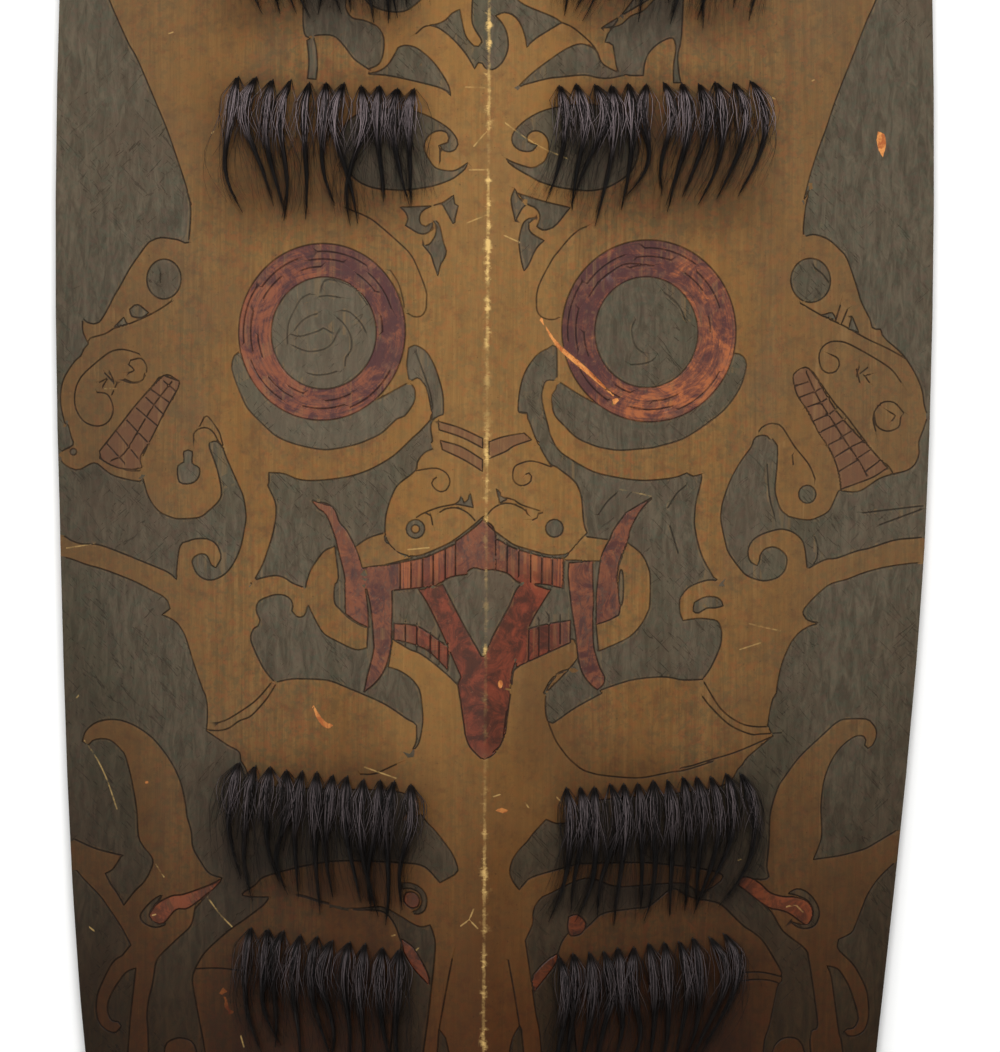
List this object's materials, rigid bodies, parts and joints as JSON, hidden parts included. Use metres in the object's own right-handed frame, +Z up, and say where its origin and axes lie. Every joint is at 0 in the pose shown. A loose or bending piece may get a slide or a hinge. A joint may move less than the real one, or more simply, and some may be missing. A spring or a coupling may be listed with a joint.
{
  "type": "shield",
  "caption": "Long wooden shield with a shallow ridge, pointed ends, a carved back grip, a painted and incised demon mask, and rows of hair locks set in slits.",
  "frame": {"origin": "middle of the underside, on the plane that the two long sides rest on when the shield lies on its back", "axes": "+X across the shield to the right of its face, +Y along it to its top, +Z up out of its decorated front"},
  "size_m": [0.421, 1.26, 0.0648],
  "materials": {
    "painted_wood": "hewn and scraped softwood with a worn ochre, charcoal and resinous red paint over fine incised lines",
    "hair": "black hair in straight tufts, slightly glossy"
  },
  "bodies": {
    "root": {"shield_board": "painted_wood", "hair_row_crown_left": "hair", "hair_row_crown_right": "hair", "hair_row_brow_left": "hair", "hair_row_brow_right": "hair", "hair_row_chin_left": "hair", "hair_row_chin_right": "hair", "hair_row_foot_left": "hair", "hair_row_foot_right": "hair"}
  },
  "joints": []
}
